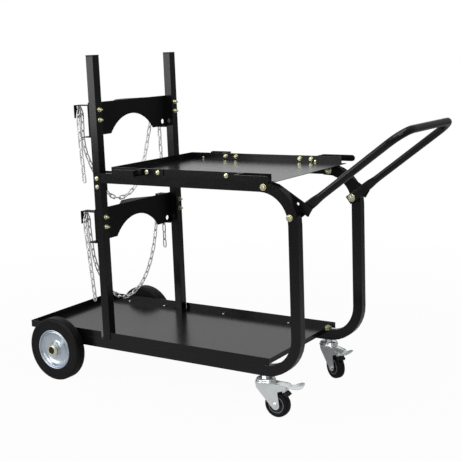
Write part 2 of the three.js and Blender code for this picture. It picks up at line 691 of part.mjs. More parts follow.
function handlePlate(side) {
  const slope = degToRad(PLATE_ANGLE);
  const corner = [bendX + PLATE_CORNER_AHEAD, upperBendZ + PLATE_CORNER_UP];
  const spot = (run, drop) => [
    corner[0] + run * Math.cos(slope) - drop * Math.sin(slope),
    corner[1] - run * Math.sin(slope) - drop * Math.cos(slope),
  ];
  const lowEdgeZ = (x) => corner[1] - PLATE_WIDTH / Math.cos(slope) - (x - corner[0]) * Math.tan(slope);
  const footFront = lowerBolt[0] + PLATE_FOOT_FRONT;
  const footRear = lowerBolt[0] - PLATE_FOOT_REAR;
  const footZ = lowerBolt[1] - PLATE_FOOT_DROP;
  const rear = bendX - PLATE_REAR_BEHIND;
  const shape = outline([
    [rear, upperBendZ + PLATE_REAR_TOP], corner, spot(PLATE_LENGTH, 0), spot(PLATE_LENGTH, PLATE_WIDTH),
    [footFront, lowEdgeZ(footFront)], [footFront, footZ], [footRear, footZ], [footRear, lowEdgeZ(footRear)],
    spot(0, PLATE_WIDTH), [rear, upperBendZ + PLATE_REAR_FOOT],
  ]);
  const plate = slabXZ(shape, side * frameInnerY, side * plateInnerY);
  const [spareX, spareZ] = spot(PLATE_HOLE_ALONG, PLATE_WIDTH / 2);
  const spareInner = side * (plateInnerY - CUT_OVERRUN);
  const spareOuter = side * (frameInnerY + CUT_OVERRUN);
  const spare = rodY(spareX, spareZ, PLATE_HOLE_RADIUS, spareInner, spareOuter);
  const holes = [upperBolt, lowerBolt].map((place) => boltHole(place, side, plateInnerY, frameInnerY));
  return cut(plate, spare, ...holes);
}

// Rear axle and wheels, turned about the Y axis

function axleBracket(side) {
  const half = AXLE_BRACKET_LENGTH / 2;
  const inner = tubeMiddleY - AXLE_BRACKET_THICK / 2;
  const outer = tubeMiddleY + AXLE_BRACKET_THICK / 2;
  const shape = new THREE.Shape();
  shape.moveTo(half, bottomRailFoot);
  shape.lineTo(-half, bottomRailFoot);
  shape.absarc(0, TYRE_RADIUS, AXLE_BRACKET_EYE, Math.PI, 2 * Math.PI, false);
  const bore = rodY(0, TYRE_RADIUS, AXLE_RADIUS + HOLE_CLEARANCE, side * (inner - CUT_OVERRUN),
    side * (outer + CUT_OVERRUN), ROUND_SIDES);
  return cut(slabXZ(shape, side * inner, side * outer), bore);
}

function tyre(radius, bore, width, shoulder) {
  const half = width / 2;
  const corner = (side) => Array.from({ length: TYRE_SHOULDER_STEPS + 1 }, (_, step) => {
    const turn = (Math.PI / 2) * (step / TYRE_SHOULDER_STEPS);
    return [radius - shoulder * (1 - Math.sin(turn)), side * (half - shoulder * (1 - Math.cos(turn)))];
  });
  return turned([[bore, -half], ...corner(-1), ...corner(1).reverse(), [bore, half]], WHEEL_SIDES);
}

function rim() {
  const outer = TYRE_BORE - SEAT_GAP;
  const inner = outer - RIM_WALL;
  const half = TYRE_WIDTH / 2 - RIM_INSET;
  const disc = half - RIM_DISH_DEPTH;
  const back = disc - RIM_DISC_THICK;
  const bore = HUB_RADIUS + SEAT_GAP;
  return turned([
    [outer, -half], [outer, half], [inner, half], [inner - RIM_DISH_SLOPE, disc], [bore, disc], [bore, back],
    [inner, back], [inner, -half],
  ], WHEEL_SIDES);
}

function rearWheel(name, side) {
  const wheel = new THREE.Group();
  wheel.position.set(0, side * (wheelInnerY + wheelOuterY) / 2, TYRE_RADIUS);
  wheel.rotation.x = side > 0 ? 0 : Math.PI;
  const half = TYRE_WIDTH / 2;
  const hub = ring(AXLE_RADIUS + BORE_CLEARANCE, HUB_RADIUS, -half - HUB_OVERHANG, half);
  const nutSeat = half + SEAT_GAP;
  const nut = ring(AXLE_RADIUS + BORE_CLEARANCE, AXLE_NUT_RADIUS, nutSeat, nutSeat + AXLE_NUT_HEIGHT);
  add(`rear_tyre_${name}`, tyre(TYRE_RADIUS, TYRE_BORE, TYRE_WIDTH, TYRE_SHOULDER), 'tyre_rubber', wheel);
  add(`rear_rim_${name}`, rim(), 'bright_zinc', wheel);
  add(`rear_hub_${name}`, hub, 'yellow_zinc', wheel);
  add(`axle_nut_${name}`, nut, 'black_plastic', wheel);
  cart.add(wheel);
}

// Casters, each about its own swivel axis, trailing towards +X before it is turned

function casterHead() {
  const nutFoot = casterRaceTop - CASTER_RACE_HEIGHT / 2;
  const nut = rodZ(0, 0, CASTER_NUT_RADIUS, nutFoot, bottomRailFoot, HEX_SIDES);
  const radii = [CASTER_RACE_RADIUS, CASTER_RACE_TOP_RADIUS];
  const race = rodZ(0, 0, radii[0], casterRaceFoot, casterRaceTop, ROUND_SIDES, radii[1]);
  return join(nut, race);
}

function forkLegShape() {
  const shape = new THREE.Shape();
  const tip = CASTER_TRAIL + FORK_ARM_AHEAD;
  shape.moveTo(-FORK_REAR, forkTop);
  shape.lineTo(-FORK_REAR + FORK_REAR_TAPER, forkTop - FORK_REAR_DROP);
  const eyeTurns = [FORK_EYE_START, FORK_EYE_END].map(degToRad);
  shape.absarc(CASTER_TRAIL, CASTER_WHEEL_RADIUS, FORK_EYE_RADIUS, ...eyeTurns, false);
  shape.lineTo(CASTER_TRAIL + FORK_THROAT_AHEAD, forkTop - FORK_THROAT_DROP);
  shape.lineTo(tip - FORK_ARM_TIP_DROP, forkTop - FORK_ARM_FOOT_DROP);
  shape.lineTo(tip, forkTop - FORK_ARM_TIP_DROP);
  shape.lineTo(CASTER_TRAIL + FORK_ARM_TOP_AHEAD, forkTop);
  return shape;
}

function casterFork() {
  const shape = forkLegShape();
  const legs = SIDES.map(([, side]) => slabXZ(shape, side * forkInnerY, side * forkOuterY));
  const bridge = block(-FORK_REAR, CASTER_TRAIL, -forkOuterY, forkOuterY, forkTop - FORK_SHEET, forkTop);
  const crown = rodZ(0, 0, FORK_CROWN_RADIUS, forkTop - FORK_SHEET, forkTop, ROUND_SIDES);
  const reach = forkOuterY + CUT_OVERRUN;
  const axleBore = CASTER_AXLE_RADIUS + HOLE_CLEARANCE;
  const axleHole = rodY(CASTER_TRAIL, CASTER_WHEEL_RADIUS, axleBore, -reach, reach);
  const pinHole = rodY(...brakePin, BRAKE_PIN_RADIUS + HOLE_CLEARANCE, -reach, reach);
  return cut(join(bridge, crown, ...legs), axleHole, pinHole);
}

function casterAxle() {
  const seat = forkOuterY + SEAT_GAP;
  const end = seat + CASTER_AXLE_HEAD_HEIGHT;
  const shank = rodY(CASTER_TRAIL, CASTER_WHEEL_RADIUS, CASTER_AXLE_RADIUS, -end, end);
  return join(shank, ...SIDES.map(([, side]) =>
    rodY(CASTER_TRAIL, CASTER_WHEEL_RADIUS, CASTER_AXLE_HEAD, side * seat, side * end, HEX_SIDES)));
}

// The height of a straight edge between two corners at a place along it
function edgeHeight([x0, z0], [x1, z1], x) {
  return z0 + ((z1 - z0) * (x - x0)) / (x1 - x0);
}

function brakePedal() {
  const half = PEDAL_WIDTH / 2;
  const shoeHalf = SHOE_WIDTH / 2;
  const barrelReach = forkInnerY - SEAT_GAP;
  const pinReach = forkOuterY + BRAKE_PIN_END;
  const plateZ = (x) => edgeHeight(PEDAL_REAR, PEDAL_ELBOW, x);
  const shoeZ = (x) => edgeHeight(SHOE_HEEL, SHOE_CREST, x) + SEAT_GAP;
  const neck = [PEDAL_NECK_REAR, PEDAL_NECK_FRONT].map((x) => [x, plateZ(x)]);
  const neckFoot = [PEDAL_NECK_FRONT, PEDAL_NECK_REAR].map((x) => [x, shoeZ(x)]);
  const pedal = join(
    slabXZ(strap([PEDAL_REAR, PEDAL_ELBOW, PEDAL_TIP], PEDAL_THICK), -half, half),
    slabXZ(outline([...neck, ...neckFoot]), -shoeHalf, shoeHalf),
    rodY(0, 0, BRAKE_BARREL_RADIUS, -barrelReach, barrelReach),
    rodY(0, 0, BRAKE_PIN_RADIUS, -pinReach, pinReach),
  );
  return pedal.translate(brakePin[0], 0, brakePin[1]);
}

// The shoe's hollow face fits the tyre once the pedal has turned through its travel
function brakeShoe() {
  const wheel = new THREE.Vector2(CASTER_TRAIL - brakePin[0], CASTER_WHEEL_RADIUS - brakePin[1]);
  wheel.rotateAround(new THREE.Vector2(), degToRad(BRAKE_TRAVEL));
  const shape = new THREE.Shape();
  const tread = CASTER_WHEEL_RADIUS + SHOE_PRESSED_GAP;
  shape.absarc(wheel.x, wheel.y, tread, degToRad(SHOE_ARC_START), degToRad(SHOE_ARC_END), true);
  [SHOE_NOSE, SHOE_CREST, SHOE_HEEL].forEach(([x, z]) => shape.lineTo(x, z));
  return slabXZ(shape, -SHOE_WIDTH / 2, SHOE_WIDTH / 2).translate(brakePin[0], 0, brakePin[1]);
}

function caster(name, side, turn) {
  const group = new THREE.Group();
  group.position.set(casterX, side * tubeMiddleY, 0);
  group.rotation.z = degToRad(turn);
  const wheel = new THREE.Group();
  wheel.position.set(CASTER_TRAIL, 0, CASTER_WHEEL_RADIUS);
  const tread = tyre(CASTER_WHEEL_RADIUS, CASTER_TYRE_BORE, CASTER_WHEEL_WIDTH, CASTER_TYRE_SHOULDER);
  const hubHalf = CASTER_HUB_WIDTH / 2;
  const hub = ring(CASTER_AXLE_RADIUS + BORE_CLEARANCE, CASTER_TYRE_BORE - SEAT_GAP, -hubHalf, hubHalf);
  add(`caster_head_${name}`, casterHead(), 'bright_zinc', group);
  add(`caster_fork_${name}`, casterFork(), 'bright_zinc', group);
  add(`caster_axle_${name}`, casterAxle(), 'bright_zinc', group);
  add(`caster_hub_${name}`, hub, 'black_plastic', wheel);
  add(`caster_tyre_${name}`, tread, 'tyre_rubber', wheel);
  add(`brake_pedal_${name}`, brakePedal(), 'bright_zinc', group);
  add(`brake_shoe_${name}`, brakeShoe(), 'black_plastic', group);
  group.add(wheel);
  cart.add(group);
}

// The whole cart

for (const [name, side] of SIDES) {
  const armNutY = handleArmY - HANDLE_FLAT_THICK / 2 - SEAT_GAP;
  const rearJog = upperTrayRear + REAR_HOOK_INSET;
  const frontJog = upperTrayFront - FRONT_HOOK_INSET;
  add(`side_frame_${name}`, sideFrame(side), 'black_paint');
  add(`post_${name}`, post(side), 'black_paint');
  add(`post_cap_${name}`, postCap(side), 'black_plastic');
  add(`rail_plate_${name}`, railPlate(side), 'black_paint');
  railBoltHeights.forEach((z, i) => {
    const made = bolt([postMiddleX, z], side, railPlateInnerY);
    add(`rail_bolt_${i ? 'lower' : 'upper'}_${name}`, made, 'yellow_zinc');
  });
  add(`handle_plate_${name}`, handlePlate(side), 'black_paint');
  add(`handle_bolt_upper_${name}`, bolt(upperBolt, side, plateInnerY), 'yellow_zinc');
  add(`handle_bolt_lower_${name}`, bolt(lowerBolt, side, armNutY), 'yellow_zinc');
  const rearHook = cableHook(side, rearJog, REAR_HOOK_FOOT, REAR_HOOK_RUN, -1);
  const frontHook = cableHook(side, frontJog, FRONT_HOOK_FOOT, FRONT_HOOK_RUN, 1);
  add(`cable_hook_rear_${name}`, rearHook, 'black_paint');
  add(`cable_hook_front_${name}`, frontHook, 'black_paint');
  add(`chain_hanger_upper_${name}`, chainHanger(side, UPPER_HANGER_TOP), 'black_paint');
  add(`chain_hanger_lower_${name}`, chainHanger(side, LOWER_HANGER_TOP), 'black_paint');
  add(`axle_bracket_${name}`, axleBracket(side), 'black_paint');
  rearWheel(name, side);
  caster(name, side, side > 0 ? RIGHT_CASTER_TURN : LEFT_CASTER_TURN);
}
add('rear_axle', rodY(0, TYRE_RADIUS, AXLE_RADIUS, -axleReach, axleReach, ROUND_SIDES), 'bright_zinc');
add('lower_tray', lowerTray(), 'black_paint');
add('upper_tray', upperTray(), 'black_paint');
add('upper_cylinder_bracket', cylinderBracket(UPPER_BRACKET_TOP), 'black_paint');
add('lower_cylinder_bracket', cylinderBracket(LOWER_BRACKET_TOP), 'black_paint');
add('upper_chain', chain(UPPER_CHAIN_ROUTE), 'bright_zinc');
add('lower_chain', chain(LOWER_CHAIN_ROUTE), 'bright_zinc');
const push = add('handle', handle(), 'black_paint');
push.position.set(lowerBolt[0], 0, lowerBolt[1]);
push.rotation.y = -handleTurn;

export default cart;
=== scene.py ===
"""Looks of a two-tier welding cart: paint, zinc and rubber, wheels, casters, fasteners and chain links.

Metres, +Z up, +X towards the push handle, -Y the left side of someone who stands at the handle.
Places along X are written from the rear axle and moved into the frame by axle_place().
"""

import json
import math

import bmesh
import bpy
from mathutils import Matrix, Vector

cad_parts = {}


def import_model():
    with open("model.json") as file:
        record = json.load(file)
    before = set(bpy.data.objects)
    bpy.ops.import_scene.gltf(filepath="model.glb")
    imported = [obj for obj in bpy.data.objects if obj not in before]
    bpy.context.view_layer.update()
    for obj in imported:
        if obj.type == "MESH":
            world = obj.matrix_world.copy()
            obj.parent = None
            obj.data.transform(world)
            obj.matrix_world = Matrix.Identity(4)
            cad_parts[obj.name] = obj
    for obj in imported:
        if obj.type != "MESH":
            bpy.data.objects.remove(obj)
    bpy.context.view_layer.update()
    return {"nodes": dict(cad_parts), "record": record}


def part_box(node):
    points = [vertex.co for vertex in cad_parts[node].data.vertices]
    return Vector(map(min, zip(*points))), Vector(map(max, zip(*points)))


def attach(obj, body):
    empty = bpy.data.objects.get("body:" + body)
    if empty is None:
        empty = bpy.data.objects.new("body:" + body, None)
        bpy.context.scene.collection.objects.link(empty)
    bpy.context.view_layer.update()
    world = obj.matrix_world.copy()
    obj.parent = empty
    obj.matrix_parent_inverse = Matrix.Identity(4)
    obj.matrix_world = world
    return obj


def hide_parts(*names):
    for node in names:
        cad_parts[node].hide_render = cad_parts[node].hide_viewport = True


MM = 0.001
SIDES = (("left", -1), ("right", 1))
UP = (0, 0, 1)

# Camera, fitted to the photograph
CAMERA_PLACE = (2.1096, -2.4026, 1.0107)
CAMERA_AZIMUTH = 33.41
CAMERA_PITCH = 10.5
CAMERA_ROLL = -2.19
CAMERA_LENS = 75.82
CAMERA_SENSOR = 36.0

# Floor and light: a white sheet of paper that ends in a darker room, and a few softboxes
FLOOR_SIZE = 30.0
FLOOR_ROUGHNESS = 0.9
PAPER_REACH = 0.9
ROOM_START = 2.4
PAPER_COLOUR = (0.50, 0.50, 0.50)
ROOM_COLOUR = (0.14, 0.14, 0.15)
PAPER_WHITE = 0.965
WORLD_COLOUR = (0.94, 0.96, 1.0, 1)
WORLD_STRENGTH = 0.20
GLOSSY_WHITE = 0.12
SOFTBOXES = (
    # name, place, aimed at, width, height, power
    ("top_softbox", (0.4, -0.8, 3.1), (0.0, 0.0, 0.4), 2.8, 2.4, 66),
    ("left_softbox", (-1.85, -2.50, 1.34), (-0.30, -0.20, 1.34), 1.9, 1.5, 36),
    ("back_softbox", (-1.65, 2.45, 1.55), (0.0, 0.0, 1.05), 3.4, 1.5, 9),
    ("front_softbox", (2.7, -2.2, 2.3), (0.1, 0.0, 0.5), 1.4, 1.4, 22),
)

# Sizes taken over from the solids, from the rear axle and the floor
FRAME_HALF = 0.203
POST_FRONT = 0.199
POST_SIDE = 0.028
POST_REAR = POST_FRONT - POST_SIDE
POST_MIDDLE_Y = FRAME_HALF - POST_SIDE / 2
POST_FOOT = 0.147
TUBE_WIDTH = 0.025
TUBE_DEPTH = 0.030
TUBE_WALL = 0.0016
TUBE_MIDDLE_Y = FRAME_HALF - TUBE_WIDTH / 2
RAIL_FOOT = 0.117
RAIL_TOP = RAIL_FOOT + TUBE_DEPTH
RAIL_REAR = -0.060
BRACKET_THICK = 0.003
HANGER_THICK = 0.0025
HANGER_REAR = POST_REAR - BRACKET_THICK - HANGER_THICK
TRAY_FLANGE_Y = 0.207
TRAY_SHEET = 0.0015
LOWER_FLOOR = 0.1485
AXLE_HEIGHT = 0.100
WHEEL_MIDDLE_Y = 0.229
TYRE_HALF = 0.019
TYRE_RADIUS = 0.100
HOOK_THICK = 0.003
BOLT_NUT_HEIGHT = 0.0065
BOLT_TAIL = 0.004
CASTER_X = 0.750
CASTER_TRAIL = 0.037
CASTER_AXLE_Z = 0.0375
CASTER_TURNS = {"left": 0.0, "right": -30.0}
BRAKE_PIN_AHEAD = 0.062
BRAKE_PIN_Z = 0.0917

# Edge rounding of the solids that stay in view
TUBE_EDGE = 0.0032
TUBE_EDGE_STEPS = 4
SHEET_EDGE = 0.0006
PLATE_EDGE = 0.0008
EDGE_STEPS = 2
EDGE_ANGLE = 50
EDGE_WELD = 1e-5
SMOOTH_ANGLE = 40

# Fasteners
HEX_SIDES = 6
HEX_RADIUS = 0.0078
SMALL_HEX_RADIUS = 0.0062
HEX_HEIGHT = 0.0056
HEX_CHAMFER = 0.0009
DOME_RADIUS = 0.0072
DOME_HEIGHT = 0.0048
DOME_EDGE = 0.0006
DOME_CROWN = 0.0004
DOME_STEPS = 7
SHANK_RADIUS = 0.0039
SMALL_SHANK_RADIUS = 0.0030
THREAD_PITCH = 0.00125
THREAD_DEPTH = 0.0005
HEAD_WASHER = 0.0096
NUT_WASHER = 0.0116
SMALL_WASHER = 0.0070
WASHER_THICK = 0.0014
WASHER_EDGE = 0.0004
FASTENER_SINK = 0.001
SCREW_RADIUS = 0.0042
SCREW_HEIGHT = 0.0026
SCREW_SIDES = 20
BRACKET_BOLT_HEIGHTS = (0.852, 0.822, 0.529, 0.499)
BRACKET_BOLT_THREAD = 0.006
HOOK_BOLT_PLACES = (0.382, 0.4215, 0.6555, 0.695)
HOOK_BOLT_Z = 0.6755
HOOK_BOLT_THREAD = 0.002
LOWER_SCREWS = (-0.043, 0.110, 0.356, 0.605)
LOWER_SCREW_Y = 0.1945
UPPER_SCREWS = (0.294, 0.7095)
UPPER_SCREW_Z = 0.669
STEM_NUT_RADIUS = 0.0118
STEM_NUT_HEIGHT = 0.0105
STEM_RADIUS = 0.006
STEM_THREAD = 0.0025

# Rear wheels: sections as (radius, distance out from the wheel's middle), corners as (radius, out, rounding)
WHEEL_SIDES = 128
TYRE_BEAD = (0.0640, 0.0150)
TYRE_BEAD_ROUNDING = 0.0025
TYRE_SHOULDER = 0.0065
TYRE_RIB = (0.0868, 0.0007)
TYRE_GROOVE = (0.0062, 0.0018, 0.0016)
ARC_STEPS = 6
RIM_LIP = (0.0615, 0.0166)
RIM_LIP_ROUNDING = 0.0022
RIM_SEAT = 0.0140
RIM_DISH = (
    (0.0590, 0.0132), (0.0582, 0.0124), (0.0574, 0.0130), (0.0562, 0.0146), (0.0548, 0.0150),
    (0.0534, 0.0140), (0.0520, 0.0106), (0.0490, 0.0076), (0.0440, 0.0054), (0.0390, 0.0040),
    (0.0350, 0.0034), (0.0300, 0.0033), (0.0250, 0.0040),
    (0.0215, 0.0060), (0.0196, 0.0100), (0.0188, 0.0160), (0.0180, 0.0176), (0.0133, 0.0180),
)
HUB_BORE = 0.0084
HUB_RADIUS = 0.0133
HUB_HALF = 0.022
HUB_CHAMFER = 0.0008
COLLAR_BORE = 0.0086
COLLAR_SECTION = (
    (0.0168, 0.0194), (0.0170, 0.0202), (0.0170, 0.0214), (0.0162, 0.0222), (0.0160, 0.0272),
    (0.0154, 0.0288), (0.0140, 0.0296), (0.0124, 0.0296), (0.0116, 0.0290), (0.0112, 0.0280),
)
AXLE_CAP = ((0.0110, 0.0270), (0.0110, 0.0292), (0.0104, 0.0300), (0.0080, 0.0303), (0.0030, 0.0304))

# Casters: sections about the wheel's axle or the swivel axis
CASTER_SIDES = 80
CASTER_TREAD = (
    (0.0262, 0.0108), (0.0275, 0.0121), (0.0300, 0.0125), (0.0330, 0.0122), (0.0352, 0.0110),
    (0.0366, 0.0088), (0.0373, 0.0055), (0.0375, 0.0020),
)
CASTER_HUB = (
    (0.0046, 0.0140), (0.0100, 0.0140), (0.0110, 0.0132), (0.0118, 0.0112), (0.0180, 0.0100),
    (0.0190, 0.0104), (0.0200, 0.0112), (0.0256, 0.0112), (0.0258, 0.0104),
)
CASTER_RING = ((0.0226, 0.0108), (0.0228, 0.0121), (0.0234, 0.0124), (0.0240, 0.0121), (0.0242, 0.0108))
CASTER_RACE = (
    (0.0270, 0.0990), (0.0290, 0.0992), (0.0294, 0.1006), (0.0288, 0.1022), (0.0272, 0.1034),
    (0.0266, 0.1046), (0.0272, 0.1056), (0.0270, 0.1070), (0.0256, 0.1084), (0.0222, 0.1094),
    (0.0190, 0.1100), (0.0150, 0.1100),
)
RACE_NUT_FOOT = 0.1096
RACE_NUT_TOP = 0.1169
RACE_NUT_RADIUS = 0.0115
CASTER_BOLT_SEAT = 0.0171
CASTER_BOLT_HEAD = 0.0210
CASTER_BOLT_END = 0.0222
CASTER_BOLT_RADIUS = 0.0040
CASTER_HEAD_RADIUS = 0.0070
PEDAL_THICK = 0.0025
PEDAL_ACROSS = (-1, -0.9, -0.6, 0, 0.6, 0.9, 1)
PEDAL_LINE = (
    # ahead of the brake pin, above it, half width, dish, sideways slope
    (-0.0220, 0.0065, 0.0120, 0.0000, 0.00), (-0.0080, 0.0052, 0.0126, 0.0000, 0.00),
    (0.0080, 0.0036, 0.0126, 0.0004, 0.00), (0.0180, 0.0020, 0.0118, 0.0008, 0.08),
    (0.0250, 0.0024, 0.0116, 0.0010, 0.20), (0.0340, 0.0048, 0.0128, 0.0012, 0.32),
    (0.0440, 0.0074, 0.0136, 0.0012, 0.38), (0.0510, 0.0090, 0.0134, 0.0010, 0.38),
    (0.0560, 0.0100, 0.0110, 0.0008, 0.38), (0.0584, 0.0104, 0.0062, 0.0004, 0.38),
)
PEDAL_NECK = ((-0.0040, 0.0050), (0.0040, 0.0040), (0.0040, -0.0132), (-0.0040, -0.0164))
PEDAL_NECK_HALF = 0.011
PEDAL_BARREL = (0.0050, 0.0140)
PEDAL_PIN = (0.0030, 0.0183)
SHOE_HALF = 0.011
SHOE_HOLLOW = (-0.0172, -0.0571)
SHOE_HOLLOW_RADIUS = 0.0389
SHOE_HOLLOW_ARC = (66, 48)
SHOE_BACK = ((0.0150, -0.0222), (0.0050, -0.0132), (-0.0050, -0.0172))

# Chains: welded links along the same routes as the solids, in millimetres
LINK_WIRE = 0.0042
LINK_PITCH = 0.0245
LINK_WIDTH = 0.0145
LINK_WIRE_SIDES = 8
LINK_BEND_STEPS = 6
LINK_SMOOTH_ANGLE = 60
UPPER_CHAIN_ROUTE = (
    (122, -187, 632), (122, -191, 690), (122, -195, 750), (122, -197, 810), (122, -197, 847),
    (122, -188, 859.7), (122, -179, 847), (122, -180, 810), (121, -180, 765), (121, -172, 725),
    (121, -146, 670), (121, -112, 618), (121, -66, 573), (121, -12, 560), (121, 40, 576),
    (121, 80, 612), (121, 116, 680), (121, 144, 758), (122, 166, 820), (122, 179, 848),
    (122, 189, 859.7), (122, 198, 846), (122, 199, 800), (122, 201, 740), (122, 203, 655),
)
LOWER_CHAIN_ROUTE = (
    (122, -173, 257), (122, -180, 330), (122, -189, 417), (122, -197, 494), (122, -197, 525),
    (122, -188, 537.7), (122, -179, 525), (122, -178, 489), (121, -167, 404), (121, -147, 344),
    (121, -114, 292), (121, -72, 254), (121, -24, 233), (121, 30, 243), (121, 72, 268),
    (121, 108, 312), (121, 138, 374), (121, 158, 446), (122, 174, 504), (122, 180, 526),
    (122, 189, 537.7), (122, 198, 525), (122, 200, 485), (122, 199, 427), (122, 199, 358),
)
HOOK_POINTS = (5, 20)
ROUTE_STEPS = 12

# Plugs of the rails' open ends, and weld beads
PLUG_CLEARANCE = 0.0002
PLUG_SECTION = ((-0.014, 0.0006), (-0.004, 0.0002), (0.0, 0.0), (0.0012, 0.0006), (0.0016, 0.0020))
WELD_RADIUS = 0.0022
WELD_SPACING = 0.45
WELD_RIPPLE = 0.14
WELD_RIPPLE_TURN = 1.9
WELD_SIDES = 10
WELD_RISE = 0.0005
WELD_INSET = 0.001
AXLE_WELD_HALF = 0.031
AXLE_WELD_OFFSET = 0.003

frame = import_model()
axle_x = sum(corner.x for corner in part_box("rear_axle")) / 2


def axle_place(x, y, z):
    """A place measured from the rear axle, in the shared frame."""
    return Vector((x + axle_x, y, z))


# Materials


class Nodes:
    """A new node material with a principled shader, and short ways to add nodes to it."""

    NOISE_LOW = 0.3
    NOISE_HIGH = 0.7

    def __init__(self, name):
        self.material = bpy.data.materials.new(name)
        self.material.use_nodes = True
        self.tree = self.material.node_tree
        self.shader = self.tree.nodes["Principled BSDF"]
        self.place = self.tree.nodes.new("ShaderNodeTexCoord").outputs["Object"]

    def link(self, output, node, socket):
        self.tree.links.new(output, node.inputs[socket])

    def noise(self, scale, detail=3.0, roughness=0.55):
        node = self.tree.nodes.new("ShaderNodeTexNoise")
        node.inputs["Scale"].default_value = scale
        node.inputs["Detail"].default_value = detail
        node.inputs["Roughness"].default_value = roughness
        self.link(self.place, node, "Vector")
        return node.outputs["Fac"]

    def colours(self, value, *stops):
        node = self.tree.nodes.new("ShaderNodeValToRGB")
        ramp = node.color_ramp.elements
        while len(ramp) < len(stops):
            ramp.new(1.0)
        for element, (position, colour) in zip(ramp, stops):
            element.position = position
            element.color = (*colour, 1)
        self.link(value, node, "Fac")
        self.link(node.outputs["Color"], self.shader, "Base Color")

    def roughness(self, value, low, high):
        """Roughness between low and high, as noise goes through its usual span."""
        node = self.tree.nodes.new("ShaderNodeMapRange")
        node.inputs["From Min"].default_value = self.NOISE_LOW
        node.inputs["From Max"].default_value = self.NOISE_HIGH
        node.inputs["To Min"].default_value = low
        node.inputs["To Max"].default_value = high
        self.link(value, node, "Value")
        self.link(node.outputs["Result"], self.shader, "Roughness")

    def bump(self, value, distance, strength):
        node = self.tree.nodes.new("ShaderNodeBump")
        node.inputs["Distance"].default_value = distance
        node.inputs["Strength"].default_value = strength
        self.link(value, node, "Height")
        self.link(node.outputs["Normal"], self.shader, "Normal")

    def set(self, **values):
        for socket, value in values.items():
            self.shader.inputs[socket.replace("_", " ")].default_value = value
        return self.material


def powder_coat():
    """Satin black powder coat: a faint orange peel and change of tone."""
    nodes = Nodes("black_powder_coat")
    nodes.colours(nodes.noise(9.0), (0.3, (0.0040, 0.0040, 0.0046)), (0.7, (0.0058, 0.0057, 0.0063)))
    nodes.roughness(nodes.noise(140.0), 0.19, 0.25)
    nodes.bump(nodes.noise(300.0, detail=1.0), 0.00002, 0.1)
    return nodes.set(Specular_IOR_Level=0.28)


def plate_coat():
    """Duller black coat of the bolted plates, with a sandy texture."""
    nodes = Nodes("black_plate_coat")
    nodes.colours(nodes.noise(14.0), (0.3, (0.0032, 0.0032, 0.0036)), (0.7, (0.0048, 0.0047, 0.0052)))
    nodes.roughness(nodes.noise(160.0), 0.46, 0.56)
    nodes.bump(nodes.noise(900.0, detail=3.0), 0.00010, 0.5)
    return nodes.set(Specular_IOR_Level=0.16)


def zinc_plate(name, dark, pale, rough, metallic=1.0):
    """Zinc plate with soft clouding between two tones, and a roughness that wanders a little."""
    nodes = Nodes(name)
    nodes.colours(nodes.noise(24.0, detail=4.0), (0.30, dark), (0.70, pale))
    nodes.roughness(nodes.noise(90.0), 0.8 * rough, 1.2 * rough)
    nodes.bump(nodes.noise(120.0), 0.00002, 0.1)
    return nodes.set(Metallic=metallic)


def tyre_rubber():
    """Black rubber with a dull bloom."""
    nodes = Nodes("tyre_rubber")
    bloom = nodes.noise(26.0, detail=6.0)
    nodes.colours(bloom, (0.3, (0.0030, 0.0030, 0.0033)), (0.7, (0.0060, 0.0058, 0.0058)))
    nodes.roughness(nodes.noise(120.0), 0.42, 0.54)
    nodes.bump(nodes.noise(500.0, detail=4.0), 0.00012, 0.4)
    return nodes.set(Specular_IOR_Level=0.18)


def moulded_plastic(name, dark, pale):
    """Moulded plastic with a fine grain."""
    nodes = Nodes(name)
    nodes.colours(nodes.noise(40.0), (0.3, dark), (0.7, pale))
    nodes.roughness(nodes.noise(300.0), 0.36, 0.48)
    nodes.bump(nodes.noise(900.0), 0.00008, 0.5)
    return nodes.set(Specular_IOR_Level=0.4)


PAINT = powder_coat()
PLATE_PAINT = plate_coat()
ZINC = zinc_plate("bright_zinc_plate", (0.84, 0.87, 0.88), (0.93, 0.95, 0.95), 0.22, 0.8)
RIM_ZINC = zinc_plate("blue_zinc_plate", (0.56, 0.625, 0.69), (0.63, 0.69, 0.75), 0.36)
CHAIN_ZINC = zinc_plate("pale_zinc_plate", (0.84, 0.85, 0.85), (0.92, 0.92, 0.92), 0.30, 0.3)
YELLOW = zinc_plate("yellow_zinc_plate", (0.70, 0.67, 0.38), (0.90, 0.88, 0.66), 0.24, 0.8)
RUBBER = tyre_rubber()
PLASTIC = moulded_plastic("black_plastic", (0.0040, 0.0040, 0.0044), (0.0070, 0.0070, 0.0074))
GREY = moulded_plastic("grey_plastic", (0.27, 0.275, 0.28), (0.34, 0.345, 0.35))
SLOTS = {
    PAINT: "black_paint",
    PLATE_PAINT: "black_paint",
    ZINC: "bright_zinc",
    RIM_ZINC: "bright_zinc",
    CHAIN_ZINC: "bright_zinc",
    YELLOW: "yellow_zinc",
    RUBBER: "tyre_rubber",
    PLASTIC: "black_plastic",
    GREY: "black_plastic",
}
FINISHES = {slot: material for material, slot in reversed(SLOTS.items())}
PLATES = ("upper_cylinder_bracket", "lower_cylinder_bracket", "handle_plate", "rail_plate", "chain_hanger")


# Mesh helpers


def new_piece(name, build, materials, body, replaces=(), place=None, smooth=SMOOTH_ANGLE):
    """A mesh filled by build(bm), set in place, that rides on a body and stands for some solids."""
    bm = bmesh.new()
    build(bm)
    bmesh.ops.recalc_face_normals(bm, faces=bm.faces)
    mesh = bpy.data.meshes.new(name)
    bm.to_mesh(mesh)
    bm.free()
    for material in materials:
        mesh.materials.append(material)
    mesh.shade_smooth()
    mesh.set_sharp_from_angle(angle=math.radians(smooth))
    piece = bpy.data.objects.new(name, mesh)
    bpy.context.scene.collection.objects.link(piece)
    piece.matrix_world = place or Matrix.Identity(4)
    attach(piece, body)
    if replaces:
        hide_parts(*replaces)
    return piece


